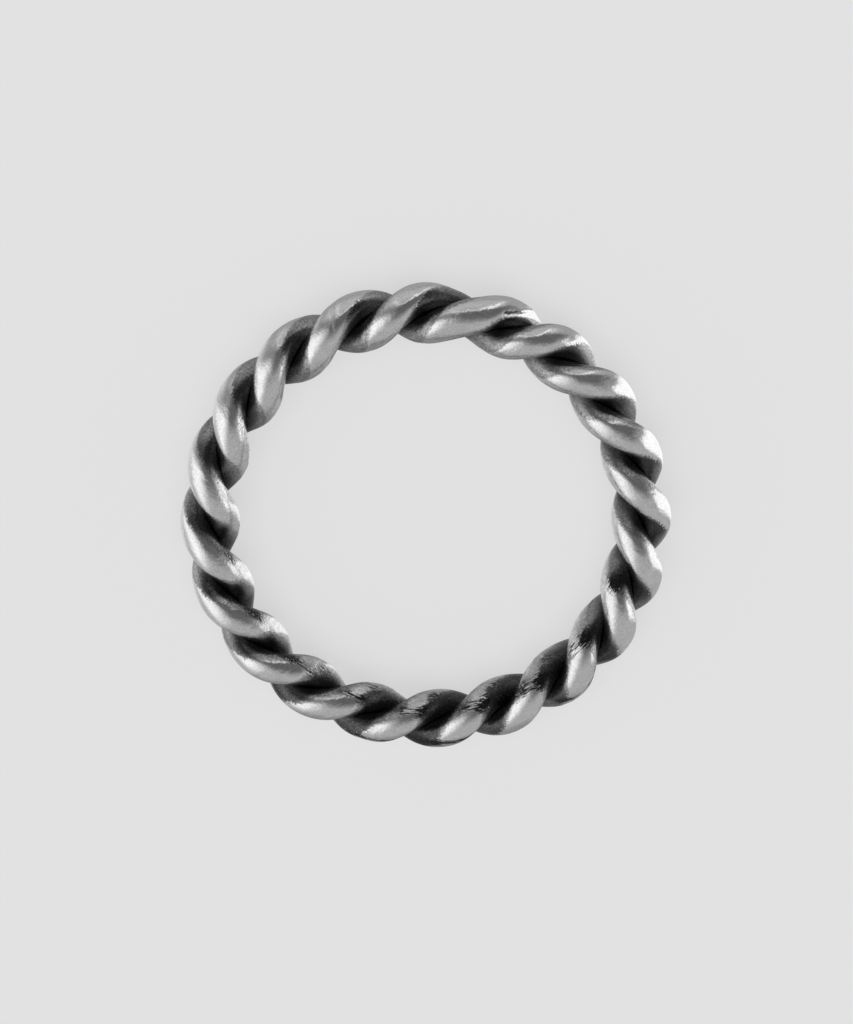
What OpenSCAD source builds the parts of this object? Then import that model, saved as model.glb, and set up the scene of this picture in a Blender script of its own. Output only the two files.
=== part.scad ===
// A finger ring of two round silver wires, twisted together into a rope, bent round and closed.
// The ring lies on its side: its axis is Z, its lowest points are at Z = 0 and the floor is below it.
// Angles go round the ring from +X towards +Y. Lengths are in millimetres.

/* [Ring] */
// Clear diameter of the finger hole, between the innermost points of the twist
finger_d = 19; // [15:0.1:23]

/* [Strands] */
// Diameter of the round wire
wire_d = 1.68; // [1.4:0.01:2]
// How far the two wires are flattened into each other where they press together
press_in = 0.29; // [0.1:0.01:0.4]
// Clearance between those two flats
seam_gap = 0.06; // [0.05:0.01:0.1]

/* [Twist] */
// Whole turns that each strand makes on its way round the ring
turns = 10; // [7:1:12]
// Twist angle where the count starts, from straight outwards towards the top
twist_start = 177.6; // [0:0.1:360]
// Share of the unevenness of a twist made by hand, 0 for an even one
hand_made = 1; // [0:0.05:1]

/* [Joint] */
// Where the ends of the wires meet, round the ring
joint_at = 79.6; // [0:0.1:360]
// Degrees that the twist opens up by on each side of the joint
joint_slack = 15.8; // [0:0.1:18]
// Degrees round the ring from the joint to where it has opened most
joint_reach = 8; // [6:0.5:14]

/* [Hidden] */

// Slow drift of the hand-made twist: each row is one wave
WAVES = 0;   // whole waves in one round of the ring
DEGREES = 1; // how far the twist runs ahead or behind
PEAK = 2;    // where round the ring it is furthest ahead
drift_rows = [
    [1, 10.1, 123.5],
    [2, 4.2, 43.6],
    [3, 1.9, 41.7],
];

// Cross-sections round the ring, and straight steps round the curved side of a strand
sections = 240;
crown_steps = 14;

// Thickness of the band, across both strands
band_t = 2 * wire_d - press_in;
// Radius of the circle that the two strands wind about
core_r = (finger_d + band_t) / 2;
// From that circle to the middle of a strand
strand_offset = (band_t - wire_d) / 2;
// A strand crosses the upright section at its lay angle, so its round wire shows as an oval there
lay_angle = atan(turns * strand_offset / core_r);
half_t = wire_d / 2;
half_w = half_t / cos(lay_angle);
// The oval ends at the flat that faces the other strand, at this angle from its crown
flat_at = seam_gap / 2;
crown_end = acos((flat_at - strand_offset) / half_t);

// Outline of one strand in the upright section: [away from the core, across].
// The curved side comes first, and the middle of the flat last.
strand_outline = concat(
    [
        for (k = [0:crown_steps])
            let (b = crown_end * (2 * k / crown_steps - 1))
            [strand_offset + half_t * cos(b), half_w * sin(b)]
    ],
    [[flat_at, 0]]
);
outline_n = len(strand_outline);

function sum(list, i = 0) = i < len(list) ? list[i] + sum(list, i + 1) : 0;

// Angle brought to between -180 and 180
function wrapped(a) = a - 360 * floor((a + 180) / 360);

// How far the twist runs ahead of an even one at angle a round the ring
function drift(a) = sum([for (row = drift_rows) row[DEGREES] * cos(row[WAVES] * (a - row[PEAK]))]);

// How far it runs behind past the joint, and ahead before it, most at joint_reach from it
function opening(a) = let (x = wrapped(a - joint_at) / joint_reach) joint_slack * x * exp((1 - x * x) / 2);

// Direction from the core to the strand, turning from outwards to upwards
function twist(a) = twist_start + turns * a + hand_made * (drift(a) - opening(a));

// Point of the outline, on the section at angle a, of the strand that starts at angle lead
function strand_point(a, lead, p) =
    let (
        t = twist(a) + lead,
        out = p[0] * cos(t) - p[1] * sin(t),
        up = p[0] * sin(t) + p[1] * cos(t),
        r = core_r + out
    )
    [r * cos(a), r * sin(a), band_t / 2 + up];

// Closed loop of one strand, swept section by section round the ring
module strand(lead) {
    points = [
        for (i = [0:sections - 1])
            for (p = strand_outline)
                strand_point(360 * i / sections, lead, p)
    ];
    // Diagonals lean along the wire, and the other way on the far half of the flat: there they
    // match those of the other strand, so that the two flats keep their clearance
    faces = [
        for (i = [0:sections - 1])
            let (here = i * outline_n, next = (i + 1) % sections * outline_n)
            for (k = [0:outline_n - 1])
                let (m = (k + 1) % outline_n, far_half = k == outline_n - 1)
                for (tri = far_half
                    ? [[here + k, here + m, next + m], [here + k, next + m, next + k]]
                    : [[here + k, here + m, next + k], [here + m, next + m, next + k]])
                    tri
    ];
    polyhedron(points, faces, convexity = 10);
}

// First wire of the twist
module strand_a() {
    color([0.66, 0.66, 0.67]) strand(0);
}

// Second wire, always on the other side of the core
module strand_b() {
    color([0.60, 0.60, 0.61]) strand(180);
}

strand_a();
strand_b();
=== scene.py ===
"""Looks of a finger ring: two silver wires twisted into a rope, bright on top, dark in the grooves."""
import math

import bpy
import numpy as np
from mathutils import Matrix, Vector


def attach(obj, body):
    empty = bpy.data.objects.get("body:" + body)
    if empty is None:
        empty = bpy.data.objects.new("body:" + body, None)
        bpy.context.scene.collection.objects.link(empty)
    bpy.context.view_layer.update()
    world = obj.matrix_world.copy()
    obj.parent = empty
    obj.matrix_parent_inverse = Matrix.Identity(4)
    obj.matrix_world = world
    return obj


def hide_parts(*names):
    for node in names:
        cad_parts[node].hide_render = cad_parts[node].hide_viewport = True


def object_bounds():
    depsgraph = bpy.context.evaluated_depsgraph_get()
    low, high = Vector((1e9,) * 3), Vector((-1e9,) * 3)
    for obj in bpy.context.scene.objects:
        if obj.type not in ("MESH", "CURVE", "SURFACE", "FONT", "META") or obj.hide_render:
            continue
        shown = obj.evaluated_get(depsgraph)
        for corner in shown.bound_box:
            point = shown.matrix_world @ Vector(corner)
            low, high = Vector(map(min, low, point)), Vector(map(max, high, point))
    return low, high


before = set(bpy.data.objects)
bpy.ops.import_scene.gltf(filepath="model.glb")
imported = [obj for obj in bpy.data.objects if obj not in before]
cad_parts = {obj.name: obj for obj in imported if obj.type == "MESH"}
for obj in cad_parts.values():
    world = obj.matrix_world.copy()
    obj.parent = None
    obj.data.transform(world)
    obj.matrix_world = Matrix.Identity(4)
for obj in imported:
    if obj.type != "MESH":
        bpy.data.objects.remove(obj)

cad_low, cad_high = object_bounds()
MM = 0.001

# The wires. Each row is a name, the strand of the solids that it stands for, how far ahead it winds, and the
# seed of its unevenness
WIRES = [("wire_a", "strand_a", 0, 11), ("wire_b", "strand_b", math.pi, 12)]
# The wire that shows its joint
JOINED_WIRE = "wire_b"

# The twist, in the same terms as the part's source
FINGER_D = 19.0 * MM
WIRE_D = 1.68 * MM
BAND_T = cad_high.z - cad_low.z
TURNS = 10
TWIST_START = math.radians(177.6)
# Each row is one slow wave of the hand-made twist: waves round the ring, degrees ahead, where it peaks
DRIFT_ROWS = [(1, 10.1, 123.5), (2, 4.2, 43.6), (3, 1.9, 41.7)]
JOINT_AT = math.radians(79.6)
JOINT_SLACK = math.radians(15.8)
JOINT_REACH = math.radians(8)

CORE_R = (FINGER_D + BAND_T) / 2
STRAND_OFFSET = (BAND_T - WIRE_D) / 2
LAY_ANGLE = math.atan(TURNS * STRAND_OFFSET / CORE_R)
HALF_T = WIRE_D / 2
HALF_W = HALF_T / math.cos(LAY_ANGLE)
# The wires are pressed together, so only a hair's breadth is left between their flats
FLAT_AT = 0.003 * MM
CROWN_END = math.acos((FLAT_AT - STRAND_OFFSET) / HALF_T)

# The mesh of each wire: sections round the ring, and steps over the crown and over the flat of a section
SECTIONS = 1300
CROWN_STEPS = 70
FLAT_STEPS = 3
SHARP_EDGE = math.radians(40)

# Uneven surface left by drawing, twisting and wear: wavelength in mm, and typical slope in radians
UNEVEN_ROWS = [(2.6, 0.022), (1.3, 0.02), (0.6, 0.022), (0.3, 0.025)]
WAVES_PER_ROW = 60
# The waves of a row are between these shares of its wavelength
SHORTEST_WAVE = 0.75
LONGEST_WAVE = 1.35
# High spots are worn level, and this is how sharply, per mm of height
WORN_LEVEL = 250
# The unevenness fades out towards the flat, over these radians
FLAT_FADE = 0.3
# The solids' box is measured over flat facets, so the round wire keeps inside it by this much, in mm
INSIDE_BOX = 0.015

# How far down from the crown the polish reaches, in radians. Rows add a rise or a dip at a place in the
# turn: where, how wide, and how much. For the flank that lags behind in the turn, degrees run from the
# outside of the ring over its face to the finger side and on below. The leading flank has them mirrored
POLISH_REACH = 1.18
POLISH_ROWS = [
    (130, 20, 0.3),
    (225, 25, -0.06),
    (257, 18, -0.3),
    (315, 22, 0.22),
    (5, 25, 0.1),
]
# Between its flanks the reach changes over this many radians on either side of the crown
CROWN_BLEND = 0.4
# The finger side is polished less where the ring shows its inside, at the top and the foot of the photo
FINGER_SIDE_AT = 181
FINGER_SIDE_WIDTH = 22
FINGER_SIDE_DIP = 0.46

# The leading flank goes black near one place in the turn, where it faces the viewer, in degrees
PIT_AT = -5
PIT_WIDTH = 34
# The lagging flank is dull all round, and clearer near one place in the turn, in degrees
DULL = 0.25
CLEAR_AT = 125
CLEAR_WIDTH = 35
CLEARER = 0.3
# Each row darkens one flank on one part of the ring: the leading flank (1) or the lagging one (-1), degrees
# round the ring, how wide, and how much
DARKER_ROWS = [
    (1, 80, 28, 0.35),
    (1, 258, 28, 0.3),
    (1, 5, 15, 0.3),
    (-1, 12, 22, 0.3),
    (-1, 192, 22, 0.25),
    (-1, 286, 24, 0.45),
]
# The finger side is scuffed: where round the rope's section, and how wide, in degrees
SCUFFED_AT = 172
SCUFFED_WIDTH = 40

# Tarnish that the polish left, and painted shade at the foot. Each row is one patch: degrees round the ring,
# degrees round the rope's section (0 outside, 90 the face, 180 the finger side), how far it spreads each
# way, and how strong
STAINS_AND_SHADE = [
    # Between the face and the finger side, from the left of the photo round its foot to the right
    (186, 128, 4, 17, 0.6),
    (189, 136, 9, 8, 0.5),
    (204, 130, 4, 18, 0.6),
    (209, 140, 6, 12, 0.8),
    (222, 134, 4, 15, 0.5),
    (228, 138, 7, 12, 0.9),
    (250, 133, 6, 11, 1.0),
    (268, 128, 7, 14, 1.1),
    (288, 128, 8, 15, 1.25),
    (305, 124, 7, 18, 1.5),
    (323, 128, 5, 17, 1.45),
    (343, 132, 3.5, 17, 1.45),
    # On the finger side, at the foot: painted shade
    (236, 168, 6, 22, 0.45),
    (254, 168, 7, 22, 0.65),
    (272, 168, 7, 22, 0.5),
    (289, 168, 7, 22, 0.5),
    (308, 170, 6, 20, 0.45),
    # Near the outside, at the foot: painted shade of where it meets the floor
    (230, 14, 4, 12, 0.8),
    (271, 28, 11, 36, 0.65),
    (318, 24, 6, 10, 0.7),
    # Three narrow arcs along the lower edges of the crowns there: painted reflection of the dark floor
    # contact
    (249, 8, 1.5, 8, 1.3),
    (251, 25, 1.5, 7, 1.5),
    (253.5, 36, 2, 5, 1.8),
    (257.5, 44, 3, 4, 1.8),
    (262, 52, 4, 4, 1.6),
    (266.5, 15, 1.5, 9, 1.6),
    (268.5, 32, 1.5, 8, 1.8),
    (271.5, 45, 2, 5, 1.9),
    (275.5, 53.5, 3, 4, 1.9),
    (279.5, 58, 3, 3.5, 1.9),
    (307, 40, 2, 5, 1.3),
    (311, 38, 3, 3, 1.4),
    (315, 45, 3, 3, 1.4),
    # Spots that are barer than the rest
    (149.5, 103, 3.5, 12, -0.6),
    (169, 113, 4, 14, -0.7),
    (354, 58, 3, 14, -0.5),
]

# The joint. Angles round the ring are in degrees, those from the crown in radians, and the height in mm. A
# low lip of metal ends at a fine dark crease, which bends towards the crown on both sides of its middle.
# Below the crease the wire was filed bare round one spot, which leans across the wire
LIP = {"high": 0.075, "wide": 0.5, "drop": 0.12, "from": 62.7, "full": 64.3, "fades": 66.5, "to": 70.5}
# The crease's darkness is tarnish, and painted shade below the lip's step
CREASE = {
    "ring": 65.7,
    "crown": 1.57,
    "bend": 0.021,
    "from": 63.5,
    "full": 68.0,
    "fades": 70.0,
    "to": 71.5,
    "wide": 0.07,
    "dark": 1.0,
}
FILED = {"ring": 64.3, "crown": 1.7, "lean": 0.05, "long": 4.3, "wide": 0.45, "bare": 1.4}

# Marks of the finish: size, octaves of detail, and how much the finer octaves count. The tears follow the
# wire, and their size is in mm along it. The strokes of the brush run round the ring, and their size is
# across it
PATCHES = (1.2 * MM, 3.0, 0.5)
TEARS = (0.6, 5.0, 0.7)
SPECKS = (0.1 * MM, 2.0, 0.7)
STROKES = (0.07 * MM, 2.0, 0.6)
CLOUDS = (0.5 * MM, 4.0, 0.6)
DUST = (0.08 * MM, 1.0, 0.5)
SCUFFS = (0.3 * MM, 3.0, 0.6)
GRAIN = (0.12 * MM, 2.0, 0.5)
# How much longer than wide the tears and the strokes are
TEAR_STRETCH = 6.0
STROKE_STRETCH = 12.0

# How far the marks shift the border of the tarnish, in radians, and what a heavy stain or painted shade adds
# for the strokes
PATCH_SHIFT = 0.18
TEAR_SHIFT = 0.18
SPECK_SHIFT = 0.35
STROKE_SHIFT = 0.4
STROKE_SHIFT_HEAVY = 3.2
# A stain or painted shade is heavy where the square of its strength, times this, reaches 1
HEAVY = 2.0
# Radians past the polish at which the tarnish starts and is full, and what a heavy stain or painted shade
# adds to each
TARNISH_FROM = -0.14
TARNISH_TO = 0.1
STARTS_SOONER = -0.3
ENDS_LATER = 0.25
# How much depth, a pit and a stain or painted shade each count towards black, and the totals at which it
# starts and is full
DEPTH_WEIGHT = 0.6
PIT_WEIGHT = 0.8
STAIN_AND_SHADE_WEIGHT = 0.8
BLACK_FROM = 0.4
BLACK_TO = 1.1

# Brightness of the tarnish: its grey, the black of the grooves, and the deeper black of the stains and the
# painted shade at the foot, with the strengths at which that starts and is full
GREY = 0.42
GROOVE_BLACK = 0.095
STAIN_AND_SHADE_BLACK = 0.035
STAIN_AND_SHADE_BLACK_FROM = 0.3
STAIN_AND_SHADE_BLACK_TO = 1.2
# How much the tears and the specks mottle the tarnish
TEAR_MOTTLE = 0.6
SPECK_MOTTLE = 1.3
# Brightness of the polish, and how much the clouds, the dust and the strokes change it
POLISH = 0.89
CLOUDY = 0.12
DUSTY = 0.2
BRUSHED = 0.14
# Share of the light that the scuffed side loses, on average and in its patches
SCUFF_LOSS = 0.15
SCUFF_PATCHY = 0.4

# Roughness of polish and of tarnish, and what the scuffed side adds
POLISH_ROUGH = 0.14
TARNISH_ROUGH = 0.22
SCUFF_ROUGH = 0.1
# Fine relief: its height, the share of it that the strokes have, what a heavy stain or painted shade adds to
# that share, and what the tarnish adds to the share of the grain, which is 1
RELIEF = 0.0032 * MM
BRISTLE = 0.55
BRISTLE_HEAVY = 3.0
TARNISH_GRAIN = 0.8

# The studio as a mirror ball would show it, seen from where the photo was taken: across and up run from
# -1 to 1 over the ball. Each panel has a brightness and its edges: a point on the edge, across and up,
# the way that it faces in degrees, and how far it fades. A later panel lies over the earlier ones
STUDIO_BASE = 0.44
STUDIO_PANELS = {
    "table": (0.52, [(0.0, -0.24, 90, 0.2)]),
    "table edge": (0.33, [(0.1, -0.76, 90, 0.1)]),
    "left wall": (0.6, [(-0.66, 0.5, 0, 0.12), (-0.9, 0.62, 90, 0.1)]),
    "far left": (0.88, [(-0.86, 0.0, 0, 0.08)]),
    "upper left": (0.8, [(-0.71, 0.5, 0, 0.08), (-0.8, 0.38, 270, 0.1)]),
    "upper middle": (
        0.57,
        [(0.0, 0.7, 90, 0.08), (0.0, 0.36, 270, 0.1), (-0.42, 0.5, 180, 0.08), (0.42, 0.5, 0, 0.08)],
    ),
    "dusk": (
        0.29,
        [(-0.3, 0.33, 75, 0.1), (-0.5, 0.12, 247, 0.1), (-0.56, 0.3, 180, 0.1), (-0.13, 0.1, 0, 0.1)],
    ),
    "dark room": (
        0.15,
        [
            (0.15, -0.21, 270, 0.2),
            (0.47, 0.12, -22, 0.1),
            (0.1, 0.3, 112, 0.08),
            (-0.15, 0.0, 190, 0.17),
            (0.5, 0.44, 90, 0.1),
        ],
    ),
    "left box": (
        1.25,
        [
            (-0.46, 0.1, 70, 0.14),
            (-0.71, -0.12, 202, 0.11),
            (-0.24, -0.3, -14, 0.22),
            (-0.4, -0.55, -72, 0.2),
        ],
    ),
    "right box": (1.36, [(0.59, 0.08, 152, 0.05), (0.75, -0.22, -70, 0.08), (0.53, -0.2, 185, 0.05)]),
    "right box top": (1.36, [(0.68, 0.4, 180, 0.05), (0.8, 0.2, 270, 0.06)]),
}
# A narrow bright strip over the dark room, bowed down in the middle and dimmer to the left
STRIP = {
    "up": 0.26,
    "bow": 3.4,
    "half_length": 0.31,
    "half_width": 0.022,
    "fade": 0.06,
    "brightness": 1.05,
    "left_share": 0.3,
}
# What the camera sees past the floor
BACKDROP = 0.95
# Keeps the sums from dividing by nothing straight behind the mirror ball
LEAST = 0.0001

# The floor is a light table: most of its brightness is its own, so shadows on it stay faint. It reaches
# this many metres each way
FLOOR_REACH = 4.0
FLOOR_GREY = 0.2
FLOOR_GLOW = 0.571
OVERHEAD_ENERGY = 1.6
OVERHEAD_SPREAD = math.radians(80)

# The photo's height in pixels, which is its long side, the camera's sensor in mm, and where it stands
IMAGE_H = 1024
SENSOR = 36.0
RING_CENTRE = Vector((0, 0, BAND_T / 2))
LOOK_DOWN = math.radians(19.9)
LOOK_ASIDE = math.radians(-0.7)
CAMERA_DISTANCE = 11.97 * CORE_R
FOCAL_PIXELS = 2580
# The camera aims this many pixels to the right of the ring's centre, and above it
AIM_RIGHT_PIXELS = 1.0
AIM_UP_PIXELS = 9.3


def photo_axes():
    """Rotation whose rows are the photo's right, up and towards the viewer, in the ring's frame."""
    tilt = Matrix.Rotation(LOOK_DOWN, 3, "X")
    aside = Matrix.Rotation(LOOK_ASIDE, 3, "Y")
    return aside @ tilt


def twist(bearing):
    """Direction from core to strand, turning from outwards to upwards, at a bearing round the ring."""
    ahead = 0
    for waves, degrees, peak in DRIFT_ROWS:
        ahead = ahead + math.radians(degrees) * np.cos(waves * (bearing - math.radians(peak)))
    off = (np.mod(bearing - JOINT_AT + math.pi, 2 * math.pi) - math.pi) / JOINT_REACH
    opening = JOINT_SLACK * off * np.exp((1 - off * off) / 2)
    return TWIST_START + TURNS * bearing + ahead - opening


def uneven(along, around, seed):
    """Height over the ideal wire, in mm, nowhere above 0, from waves that close up round the ring."""
    draw = np.random.default_rng(seed)
    length = 2 * math.pi * CORE_R / math.cos(LAY_ANGLE) / MM
    height = np.zeros(np.broadcast_shapes(along.shape, around.shape))
    for wavelength, slope in UNEVEN_ROWS:
        step = slope * wavelength / (2 * math.pi) * math.sqrt(2 / WAVES_PER_ROW)
        for _ in range(WAVES_PER_ROW):
            wave = wavelength * draw.uniform(SHORTEST_WAVE, LONGEST_WAVE)
            heading = draw.uniform(0, math.pi)
            whole = round(math.cos(heading) * length / wave)
            across = 2 * math.pi * math.sin(heading) / wave
            phase = draw.uniform(0, 2 * math.pi)
            height += step * np.cos(2 * math.pi * whole * along / length + across * around + phase)
    return -np.logaddexp(0, -WORN_LEVEL * height) / WORN_LEVEL


def hump(angle, centre, width):
    """Smooth hump of height 1 on a full circle, in degrees."""
    off = np.mod(angle - centre + 180, 360) - 180
    return np.exp(-((off / width) ** 2))


def polish_reach(bearing, turn, flank):
    """How far from the crown the leading (1) or lagging (-1) flank is polished, in radians."""
    turned = np.degrees(-flank * turn)
    dip = FINGER_SIDE_DIP * hump(turned, FINGER_SIDE_AT, FINGER_SIDE_WIDTH) * np.sin(bearing) ** 2
    rises = sum(height * hump(turned, centre, width) for centre, width, height in POLISH_ROWS)
    return POLISH_REACH - dip + rises


def pit(bearing, turn, angle):
    """How far towards black the grooves go, at an angle from the crown: 1 in the pits."""
    ring, turned = np.degrees(bearing), np.degrees(turn)
    leading, lagging = np.clip(angle, 0, 1), np.clip(-angle, 0, 1)
    black = hump(turned, PIT_AT, PIT_WIDTH)
    dull = DULL - CLEARER * hump(turned, CLEAR_AT, CLEAR_WIDTH)
    darkness = black * leading + dull * lagging
    for flank, at, width, more in DARKER_ROWS:
        darkness = darkness + more * hump(ring, at, width) * np.clip(flank * angle, 0, 1)
    return darkness


def stains_and_shade(bearing, place):
    """Extra tarnish and painted shade, at a bearing round the ring and a place round the rope's section."""
    ring, section = np.degrees(bearing), np.degrees(place)
    tarnish = 0
    for at, spot, length, width, strength in STAINS_AND_SHADE:
        tarnish = tarnish + strength * hump(ring, at, length) * hump(section, spot, width)
    return tarnish


def stretch(ring, part):
    """1 over the middle of a part of the joint, falling to 0 at its two ends."""
    start = (ring - part["from"]) / (part["full"] - part["from"])
    end = (part["to"] - ring) / (part["to"] - part["fades"])
    return np.clip(start, 0, 1) * np.clip(end, 0, 1)


def below_crease(ring, angle):
    """How much further from the crown than the crease's line an angle is, in radians."""
    return angle - CREASE["crown"] + CREASE["bend"] * (ring - CREASE["ring"]) ** 2


def joint_lip(bearing, angle):
    """Height of the lip, in mm."""
    ring = np.degrees(bearing)
    off = below_crease(ring, angle)
    rise = np.clip(1 + off / LIP["wide"], 0, 1) ** 2
    return LIP["high"] * stretch(ring, LIP) * rise * np.clip(1 - off / LIP["drop"], 0, 1)


def joint_crease(bearing, angle):
    """Tarnish in the crease, and painted shade below the lip's step."""
    ring = np.degrees(bearing)
    line = np.exp(-((below_crease(ring, angle) / CREASE["wide"]) ** 2))
    return CREASE["dark"] * stretch(ring, CREASE) * line


def joint_bare(bearing, angle):
    """Tarnish taken away where the joint was filed."""
    along = np.degrees(bearing) - FILED["ring"]
    across = angle - FILED["crown"] + FILED["lean"] * along
    return FILED["bare"] * np.exp(-((along / FILED["long"]) ** 2) - (across / FILED["wide"]) ** 2)


def strand_outline():
    """Points round one strand in the upright section, and each one's angle from the crown."""
    crown = np.linspace(-CROWN_END, CROWN_END, CROWN_STEPS + 1)
    out = STRAND_OFFSET + HALF_T * np.cos(crown)
    across = HALF_W * np.sin(crown)
    edge = across[-1]
    flat = np.linspace(edge, -edge, FLAT_STEPS + 1)[1:-1]
    out = np.r_[out, np.full(len(flat), FLAT_AT)]
    across = np.r_[across, flat]
    angle = np.r_[crown, np.full(len(flat), CROWN_END)]
    return out, across, angle


def closed_grid(rows, columns):
    """Four-sided faces of a grid of points that closes up both ways."""
    row = np.arange(rows)[:, None]
    column = np.arange(columns)[None, :]
    here, there = row * columns, (row + 1) % rows * columns
    after = (column + 1) % columns
    return np.stack([here + column, there + column, there + after, here + after], -1).reshape(-1, 4)


def store(mesh, name, values):
    """Keep one number, or a row of three, at each point of a mesh, for its material to read."""
    kind, field = ("FLOAT_VECTOR", "vector") if values.ndim == 3 else ("FLOAT", "value")
    layer = mesh.attributes.new(name, kind, "POINT")
    layer.data.foreach_set(field, values.astype(np.float32).ravel())


def wire(name, lead, seed):
    """Closed loop of one wire, with the coordinates of its wear, tarnish and painted shade."""
    bearing = np.linspace(0, 2 * math.pi, SECTIONS, endpoint=False)[:, None]
    out, across, angle = (values[None, :] for values in strand_outline())
    turn = twist(bearing) + lead
    along = bearing * CORE_R / math.cos(LAY_ANGLE) / MM
    around = angle * HALF_T / MM
    rise = uneven(along, around, seed) - INSIDE_BOX * np.clip(np.cos(turn + angle), 0, 1)
    rise = rise * np.clip((CROWN_END - np.abs(angle)) / FLAT_FADE, 0, 1) * MM
    if name == JOINED_WIRE:
        rise = rise + joint_lip(bearing, angle) * MM
    out = out + rise * np.cos(angle)
    across = across + rise * np.sin(angle)
    radius = CORE_R + out * np.cos(turn) - across * np.sin(turn)
    up = out * np.sin(turn) + across * np.cos(turn)
    points = np.stack([radius * np.cos(bearing), radius * np.sin(bearing), up + BAND_T / 2], -1)
    faces = closed_grid(SECTIONS, points.shape[1])
    mesh = bpy.data.meshes.new(name)
    mesh.from_pydata(points.reshape(-1, 3).tolist(), [], faces.tolist())
    mesh.validate()

    share = np.clip(angle / CROWN_BLEND, -1, 1) / 2 + 0.5
    reach = share * polish_reach(bearing, turn, 1) + (1 - share) * polish_reach(bearing, turn, -1)
    place = np.arctan2(up, radius - CORE_R)
    # Stains, and the painted shade at the foot, push the tarnish deeper
    stain_and_shade = stains_and_shade(bearing, place)
    depth = np.abs(angle) - reach + stain_and_shade
    if name == JOINED_WIRE:
        depth = depth + joint_crease(bearing, angle) - joint_bare(bearing, angle)
    store(mesh, "wear_and_shade", np.stack([depth, pit(bearing, turn, angle), stain_and_shade], -1))
    store(mesh, "scuffed", hump(np.degrees(place), SCUFFED_AT, SCUFFED_WIDTH))
    core = CORE_R / MM
    lay = np.broadcast_arrays(core * np.cos(bearing), core * np.sin(bearing), TEAR_STRETCH * around + lead)
    store(mesh, "lay", np.stack(lay, -1))
    mesh.polygons.foreach_set("use_smooth", np.ones(len(mesh.polygons), bool))
    mesh.set_sharp_from_angle(angle=SHARP_EDGE)
    obj = bpy.data.objects.new(name, mesh)
    bpy.context.scene.collection.objects.link(obj)
    return obj


class Graph:
    """Small helper that adds and links shader nodes."""

    def __init__(self, tree):
        self.tree = tree
        tree.nodes.clear()

    def add(self, kind, inputs=(), **settings):
        """Node of a kind, with settings, and inputs that are linked or set."""
        node = self.tree.nodes.new(kind)
        for key, value in settings.items():
            setattr(node, key, value)
        for key, value in dict(inputs).items():
            socket = node.inputs[key]
            if isinstance(value, bpy.types.NodeSocket):
                self.tree.links.new(value, socket)
            else:
                socket.default_value = value
        return node

    def math(self, operation, *values):
        """One step of arithmetic."""
        return self.add("ShaderNodeMath", enumerate(values), operation=operation).outputs[0]

    def total(self, base, *terms):
        """Base plus each term times its weight."""
        for term, weight in terms:
            base = self.math("MULTIPLY_ADD", term, weight, base)
        return base

    def vector(self, operation, inputs, result="Vector"):
        """One step of vector arithmetic."""
        return self.add("ShaderNodeVectorMath", inputs, operation=operation).outputs[result]

    def ramp(self, value, low, high, to_low=0.0, to_high=1.0):
        """Smooth step from one value at low to another at high."""
        inputs = {"Value": value, "From Min": low, "From Max": high, "To Min": to_low, "To Max": to_high}
        return self.add("ShaderNodeMapRange", inputs, interpolation_type="SMOOTHSTEP").outputs["Result"]

    def mix(self, share, first, second):
        """First value where share is 0, second where it is 1."""
        return self.add("ShaderNodeMix", {0: share, 2: first, 3: second}, data_type="FLOAT").outputs[0]

    def noise(self, vector, size, detail, roughness, fourth=None):
        """Cloudy noise from about -1 to 1, in three dimensions or four."""
        inputs = {"Vector": vector, "Scale": 1 / size, "Detail": detail, "Roughness": roughness}
        settings = {}
        if fourth is not None:
            inputs["W"] = fourth
            settings["noise_dimensions"] = "4D"
        node = self.add("ShaderNodeTexNoise", inputs, **settings)
        return self.math("MULTIPLY_ADD", node.outputs["Fac"], 2.0, -1.0)

    def brush_strokes(self, where, size, detail, roughness):
        """Fine lines that run round the ring, on a circle so that they close up."""
        x, y, z = self.add("ShaderNodeSeparateXYZ", {0: where}).outputs
        flat = self.add("ShaderNodeCombineXYZ", {0: x, 1: y}).outputs[0]
        radius = self.vector("LENGTH", {0: flat}, "Value")
        heading = self.vector("NORMALIZE", {0: flat})
        circle = self.vector("SCALE", {0: heading, "Scale": CORE_R / STROKE_STRETCH})
        lift = self.add("ShaderNodeCombineXYZ", {2: radius}).outputs[0]
        return self.noise(self.vector("ADD", {0: circle, 1: lift}), size, detail, roughness, z)


def strip(g, across, height):
    """Light from the bowed strip."""
    drop = g.math("MULTIPLY", g.math("MULTIPLY", across, across), STRIP["bow"])
    slope = g.math("MULTIPLY", across, 2 * STRIP["bow"])
    steep = g.math("SQRT", g.math("MULTIPLY_ADD", slope, slope, 1.0))
    off = g.math("SUBTRACT", g.math("SUBTRACT", height, STRIP["up"]), drop)
    off = g.math("ABSOLUTE", g.math("DIVIDE", off, steep))
    glow = g.ramp(off, 0.0, 2 * STRIP["half_width"], STRIP["brightness"], 0.0)
    end = STRIP["half_length"]
    ends = g.ramp(g.math("ABSOLUTE", across), end - STRIP["fade"], end + STRIP["fade"], 1.0, 0.0)
    side = g.ramp(across, -end, end, STRIP["left_share"], 1.0)
    return g.math("MULTIPLY", glow, g.math("MULTIPLY", ends, side))


def panel_cover(g, across, height, edges):
    """1 on a panel and 0 off it, fading over its edges."""
    cover = 1.0
    for x, y, facing, fade in edges:
        nx, ny = math.cos(math.radians(facing)), math.sin(math.radians(facing))
        beyond = g.math("MULTIPLY_ADD", height, ny, -(x * nx + y * ny))
        beyond = g.math("MULTIPLY_ADD", across, nx, beyond)
        cover = g.math("MULTIPLY", cover, g.ramp(beyond, -fade, fade, 1.0, 0.0))
    return cover


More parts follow.
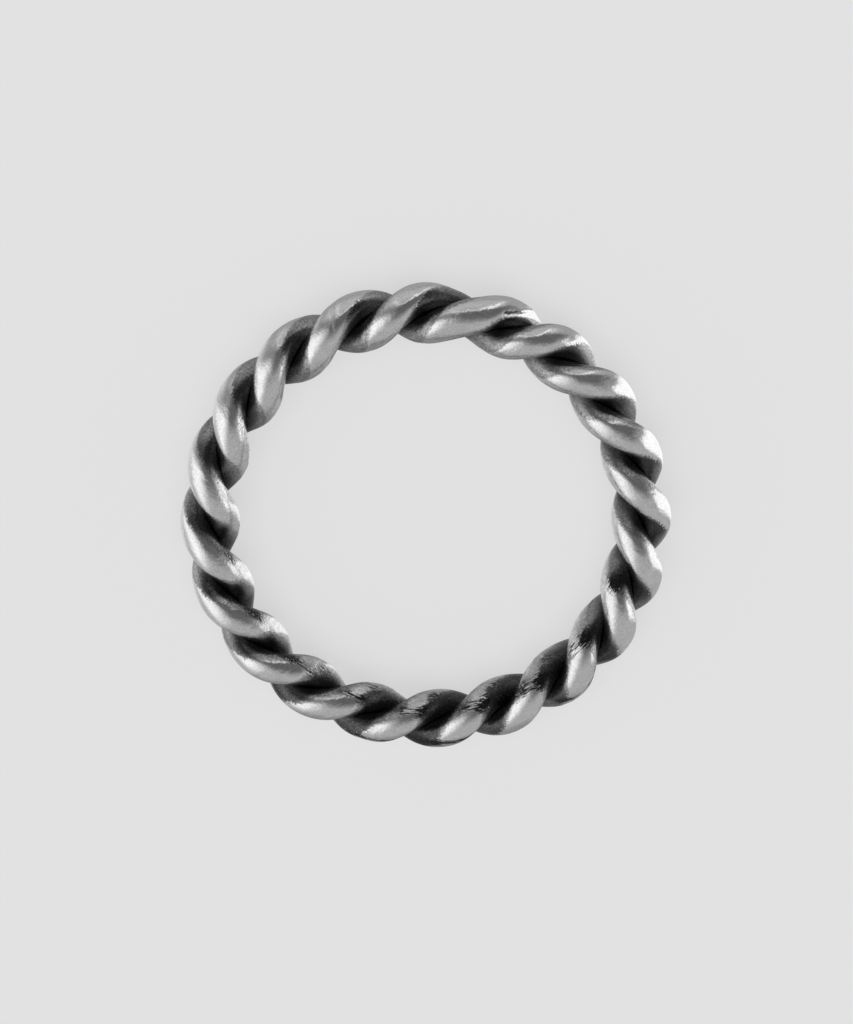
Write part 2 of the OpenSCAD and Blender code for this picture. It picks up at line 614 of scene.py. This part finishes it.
def studio_world():
    """Soft studio light from all round, and a plain backdrop where the camera looks past the floor."""
    world = bpy.data.worlds.new("studio")
    bpy.context.scene.world = world
    world.use_nodes = True
    g = Graph(world.node_tree)
    direction = g.add("ShaderNodeTexCoord").outputs["Generated"]
    axes = [tuple(row) for row in photo_axes()]
    right, up, toward = (g.vector("DOT_PRODUCT", {0: direction, 1: axis}, "Value") for axis in axes)
    # Where the mirror ball shows a direction, it faces half-way between that direction and the viewer
    length = g.math("SQRT", g.math("MAXIMUM", g.math("MULTIPLY_ADD", toward, 2.0, 2.0), LEAST))
    across = g.math("DIVIDE", right, length)
    height = g.math("DIVIDE", up, length)
    light = STUDIO_BASE
    for brightness, edges in STUDIO_PANELS.values():
        light = g.mix(panel_cover(g, across, height, edges), light, brightness)
    light = g.math("ADD", light, strip(g, across, height))
    seen = g.add("ShaderNodeLightPath").outputs["Is Camera Ray"]
    background = g.add("ShaderNodeBackground", {"Strength": g.mix(seen, light, BACKDROP)})
    g.add("ShaderNodeOutputWorld", {"Surface": background.outputs[0]})


def silver():
    """Sterling silver: polished on the crowns, oxidised towards the grooves, with painted shade at the foot.
    """
    material = bpy.data.materials.new("oxidised silver")
    material.use_nodes = True
    g = Graph(material.node_tree)
    wear_and_shade = g.add("ShaderNodeAttribute", attribute_name="wear_and_shade").outputs["Vector"]
    depth, pitted, stain_and_shade = g.add("ShaderNodeSeparateXYZ", {0: wear_and_shade}).outputs
    lay = g.add("ShaderNodeAttribute", attribute_name="lay").outputs["Vector"]
    scuffed = g.add("ShaderNodeAttribute", attribute_name="scuffed").outputs["Fac"]
    where = g.add("ShaderNodeTexCoord").outputs["Object"]
    tears = g.noise(lay, *TEARS)
    specks = g.noise(where, *SPECKS)
    strokes = g.brush_strokes(where, *STROKES)

    # Where the tarnish lies, with the painted shade at the foot among the stains
    heavy = g.math("MINIMUM", g.math("MULTIPLY", g.math("MULTIPLY", stain_and_shade, stain_and_shade), HEAVY), 1.0)
    brushed = g.math("MULTIPLY_ADD", heavy, STROKE_SHIFT_HEAVY, STROKE_SHIFT)
    marks = [(g.noise(where, *PATCHES), PATCH_SHIFT), (tears, TEAR_SHIFT), (specks, SPECK_SHIFT)]
    worn = g.total(depth, *marks, (strokes, brushed))
    starts = g.math("MULTIPLY_ADD", heavy, STARTS_SOONER, TARNISH_FROM)
    ends = g.math("MULTIPLY_ADD", heavy, ENDS_LATER, TARNISH_TO)
    tarnish = g.ramp(worn, starts, ends)

    # How bright the metal is: the stains' black also paints the shade at the foot
    sunk = g.total(g.math("MULTIPLY", worn, DEPTH_WEIGHT), (pitted, PIT_WEIGHT), (stain_and_shade, STAIN_AND_SHADE_WEIGHT))
    black = g.ramp(sunk, BLACK_FROM, BLACK_TO)
    blackest = g.ramp(stain_and_shade, STAIN_AND_SHADE_BLACK_FROM, STAIN_AND_SHADE_BLACK_TO, GROOVE_BLACK, STAIN_AND_SHADE_BLACK)
    mottled = g.total(1.0, (specks, SPECK_MOTTLE), (tears, TEAR_MOTTLE))
    patina = g.math("MULTIPLY", g.mix(black, GREY, blackest), mottled)
    haze = [(g.noise(where, *CLOUDS), CLOUDY), (g.noise(where, *DUST), DUSTY), (strokes, BRUSHED)]
    polish = g.math("MINIMUM", g.total(POLISH, *haze), 1.0)
    scuffs = g.math("MULTIPLY_ADD", g.noise(where, *SCUFFS), SCUFF_PATCHY, SCUFF_LOSS)
    polish = g.math("MULTIPLY", polish, g.math("SUBTRACT", 1.0, g.math("MULTIPLY", scuffed, scuffs)))
    shine = g.mix(tarnish, polish, patina)
    colour = g.add("ShaderNodeCombineColor", {"Red": shine, "Green": shine, "Blue": shine})

    # How rough it is, and its fine relief
    roughness = g.math("MULTIPLY_ADD", scuffed, SCUFF_ROUGH, g.mix(tarnish, POLISH_ROUGH, TARNISH_ROUGH))
    bristles = g.math("MULTIPLY", strokes, g.math("MULTIPLY_ADD", heavy, BRISTLE_HEAVY, BRISTLE))
    grain = g.math("MULTIPLY", g.noise(where, *GRAIN), g.math("MULTIPLY_ADD", tarnish, TARNISH_GRAIN, 1.0))
    relief = g.math("MULTIPLY", g.math("ADD", bristles, grain), g.math("ADD", scuffed, 1.0))
    bump = g.add("ShaderNodeBump", {"Height": relief, "Strength": 1.0, "Distance": RELIEF})
    inputs = {
        "Base Color": colour.outputs[0],
        "Metallic": 1.0,
        "Roughness": roughness,
        "Normal": bump.outputs[0],
    }
    shader = g.add("ShaderNodeBsdfPrincipled", inputs)
    g.add("ShaderNodeOutputMaterial", {"Surface": shader.outputs[0]})
    return material


def pale_floor():
    """Plain pale floor, lit evenly by one wide soft light from above."""
    mesh = bpy.data.meshes.new("floor")
    corners = [(x * FLOOR_REACH, y * FLOOR_REACH, 0) for x, y in ((-1, -1), (1, -1), (1, 1), (-1, 1))]
    mesh.from_pydata(corners, [], [(0, 1, 2, 3)])
    floor = bpy.data.objects.new("floor", mesh)
    bpy.context.scene.collection.objects.link(floor)
    material = bpy.data.materials.new("pale floor")
    material.use_nodes = True
    g = Graph(material.node_tree)
    lit = g.add("ShaderNodeBsdfDiffuse", {"Color": (FLOOR_GREY, FLOOR_GREY, FLOOR_GREY, 1)})
    glow = g.add("ShaderNodeEmission", {"Color": (1, 1, 1, 1), "Strength": FLOOR_GLOW})
    both = g.add("ShaderNodeAddShader", {0: lit.outputs[0], 1: glow.outputs[0]})
    g.add("ShaderNodeOutputMaterial", {"Surface": both.outputs[0]})
    mesh.materials.append(material)
    floor.visible_glossy = False
    floor.visible_shadow = False
    lamp = bpy.data.lights.new("overhead", "SUN")
    lamp.energy = OVERHEAD_ENERGY
    lamp.angle = OVERHEAD_SPREAD
    overhead = bpy.data.objects.new("overhead", lamp)
    overhead.visible_glossy = False
    bpy.context.scene.collection.objects.link(overhead)


def photo_camera():
    """Camera at the photo's angle to the ring."""
    camera = bpy.data.cameras.new("camera")
    camera.sensor_width = SENSOR
    camera.lens = FOCAL_PIXELS / IMAGE_H * SENSOR
    camera.clip_start = MM
    obj = bpy.data.objects.new("camera", camera)
    bpy.context.scene.collection.objects.link(obj)
    axes = photo_axes().transposed()
    aim_right = Matrix.Rotation(-AIM_RIGHT_PIXELS / FOCAL_PIXELS, 3, "Y")
    aim_up = Matrix.Rotation(AIM_UP_PIXELS / FOCAL_PIXELS, 3, "X")
    stand = RING_CENTRE + axes @ Vector((0, 0, CAMERA_DISTANCE))
    obj.matrix_world = Matrix.Translation(stand) @ (axes @ (aim_right @ aim_up)).to_4x4()
    bpy.context.scene.camera = obj


studio_world()
pale_floor()
photo_camera()
finish = silver()
for name, node, lead, seed in WIRES:
    piece = wire(name, lead, seed)
    piece.data.materials.append(finish)
    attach(piece, "root")
    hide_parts(node)
bpy.context.scene.view_settings.view_transform = "Standard"
